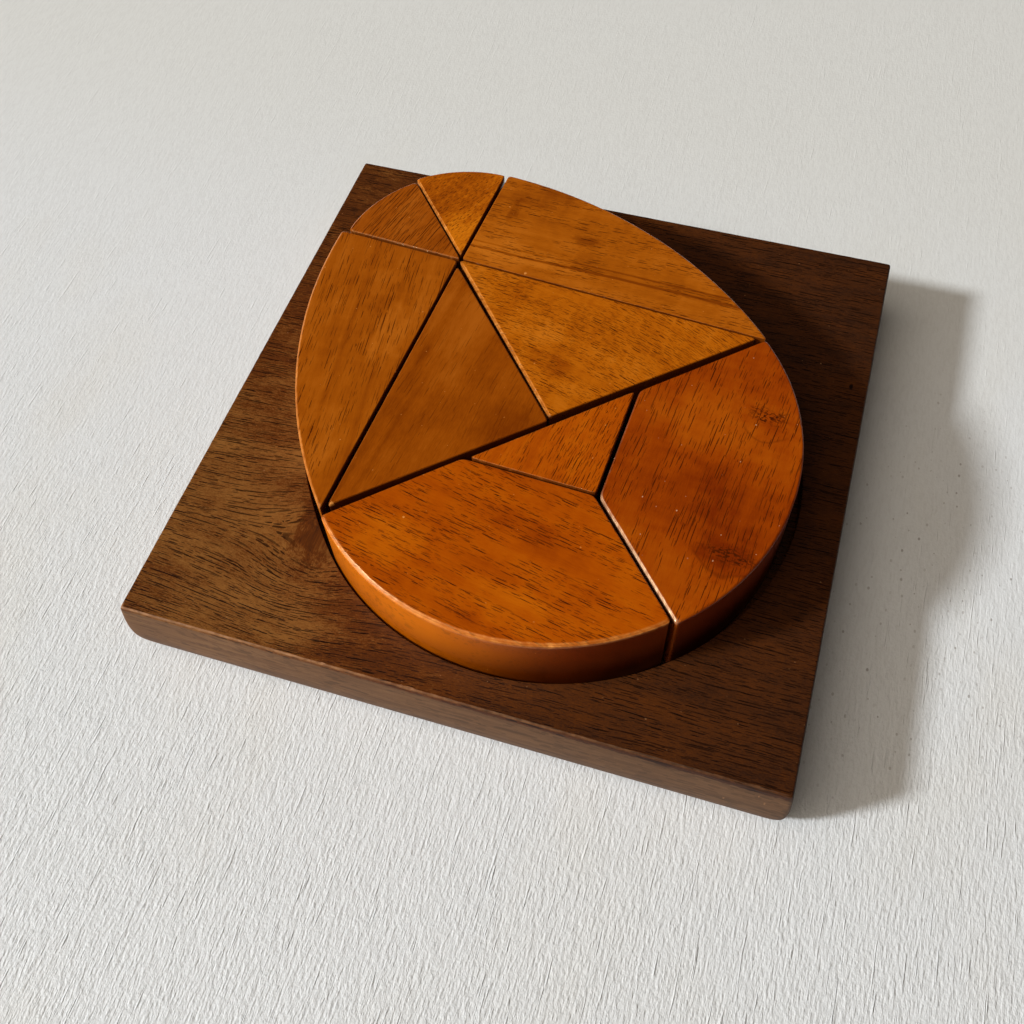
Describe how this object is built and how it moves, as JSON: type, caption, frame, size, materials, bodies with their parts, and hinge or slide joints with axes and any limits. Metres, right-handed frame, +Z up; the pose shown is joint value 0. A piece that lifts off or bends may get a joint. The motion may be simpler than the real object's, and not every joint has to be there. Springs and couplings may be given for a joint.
{
  "type": "egg tangram puzzle",
  "caption": "Egg-shaped dissection puzzle: loose hardwood pieces cut by straight lines and arcs rest in the routed recess of a square wooden tray and lift straight out.",
  "frame": {"origin": "middle of the tray's underside", "axes": "+X along the tray's front edge, +Y towards its back edge, +Z up out of the recess"},
  "size_m": [0.14, 0.14, 0.033],
  "materials": {
    "walnut_tray": "open-pored dark hardwood with a satin lacquer",
    "brown_wood": "hardwood stained reddish brown, satin lacquer",
    "amber_wood": "hardwood stained amber brown, satin lacquer",
    "golden_wood": "hardwood stained golden brown, satin lacquer",
    "orange_wood": "hardwood stained bright orange, satin lacquer",
    "red_orange_wood": "hardwood stained red orange, with small knots, satin lacquer"
  },
  "bodies": {
    "tray": {"tray": "walnut_tray"},
    "left_tip_sector": {"left_tip_sector": "brown_wood"},
    "right_tip_sector": {"right_tip_sector": "golden_wood"},
    "left_side_piece": {"left_side_piece": "amber_wood"},
    "right_side_piece": {"right_side_piece": "amber_wood"},
    "left_triangle": {"left_triangle": "brown_wood"},
    "right_triangle": {"right_triangle": "golden_wood"},
    "small_triangle": {"small_triangle": "orange_wood"},
    "lower_left_piece": {"lower_left_piece": "orange_wood"},
    "lower_right_piece": {"lower_right_piece": "red_orange_wood"}
  },
  "joints": [
    {"name": "left_tip_sector_lift", "type": "slide", "parent": "tray", "child": "left_tip_sector", "axis": [0, 0, 1], "range_m": [0, 0.025]},
    {"name": "right_tip_sector_lift", "type": "slide", "parent": "tray", "child": "right_tip_sector", "axis": [0, 0, 1], "range_m": [0, 0.025]},
    {"name": "left_side_piece_lift", "type": "slide", "parent": "tray", "child": "left_side_piece", "axis": [0, 0, 1], "range_m": [0, 0.025]},
    {"name": "right_side_piece_lift", "type": "slide", "parent": "tray", "child": "right_side_piece", "axis": [0, 0, 1], "range_m": [0, 0.025]},
    {"name": "left_triangle_lift", "type": "slide", "parent": "tray", "child": "left_triangle", "axis": [0, 0, 1], "range_m": [0, 0.025]},
    {"name": "right_triangle_lift", "type": "slide", "parent": "tray", "child": "right_triangle", "axis": [0, 0, 1], "range_m": [0, 0.025]},
    {"name": "small_triangle_lift", "type": "slide", "parent": "tray", "child": "small_triangle", "axis": [0, 0, 1], "range_m": [0, 0.025]},
    {"name": "lower_left_piece_lift", "type": "slide", "parent": "tray", "child": "lower_left_piece", "axis": [0, 0, 1], "range_m": [0, 0.025]},
    {"name": "lower_right_piece_lift", "type": "slide", "parent": "tray", "child": "lower_right_piece", "axis": [0, 0, 1], "range_m": [0, 0.025]}
  ]
}
